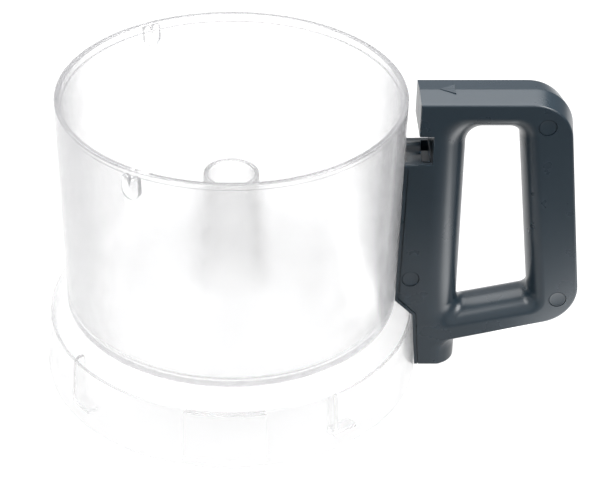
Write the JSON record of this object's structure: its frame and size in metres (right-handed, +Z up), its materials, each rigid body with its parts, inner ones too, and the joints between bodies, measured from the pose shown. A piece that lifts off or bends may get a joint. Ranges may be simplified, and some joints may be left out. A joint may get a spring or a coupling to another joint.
{
  "type": "food processor bowl",
  "caption": "Clear food processor work bowl with centre tube, bayonet skirt, hollow side handle and a sprung lid interlock rod.",
  "frame": {"origin": "on the rest plane under the middle of the bowl and handle together; the bowl's own axis is 39.3 mm towards -X", "axes": "+Z up along the bowl's axis, +X towards the handle, +Y to the left when facing +X"},
  "size_m": [0.2636, 0.185, 0.1518],
  "materials": {
    "clear_plastic": "clear moulded copolyester, polished, faint lavender at its edges",
    "slate_plastic": "dark slate grey moulded plastic, satin, fine texture",
    "white_acetal": "natural white acetal, satin",
    "steel": "stainless steel, bright drawn",
    "silicone": "black silicone"
  },
  "bodies": {
    "bowl_and_handle": {"bowl": "clear_plastic", "handle_front_shell": "slate_plastic", "handle_rear_shell": "slate_plastic", "screw_upper_grip": "steel", "screw_lower_grip": "steel", "screw_column": "steel", "plug_upper_grip": "slate_plastic", "plug_lower_grip": "slate_plastic", "plug_column": "slate_plastic", "upper_guide_bush": "white_acetal", "foot_guide_bush": "white_acetal", "foot_seal": "silicone", "spring_seat": "steel", "return_spring": "steel"},
    "interlock": {"interlock_slider": "slate_plastic", "cross_pin": "steel", "push_rod": "steel", "retaining_clip": "steel", "spring_washer": "steel", "plunger_tip": "white_acetal"}
  },
  "joints": [
    {"name": "interlock_slide", "type": "slide", "parent": "bowl_and_handle", "child": "interlock", "axis": [0, 0, -1], "range_m": [0, 0.007], "stiffness_N_per_m": 400, "springref_m": -0.006, "deforming": ["return_spring"]}
  ]
}
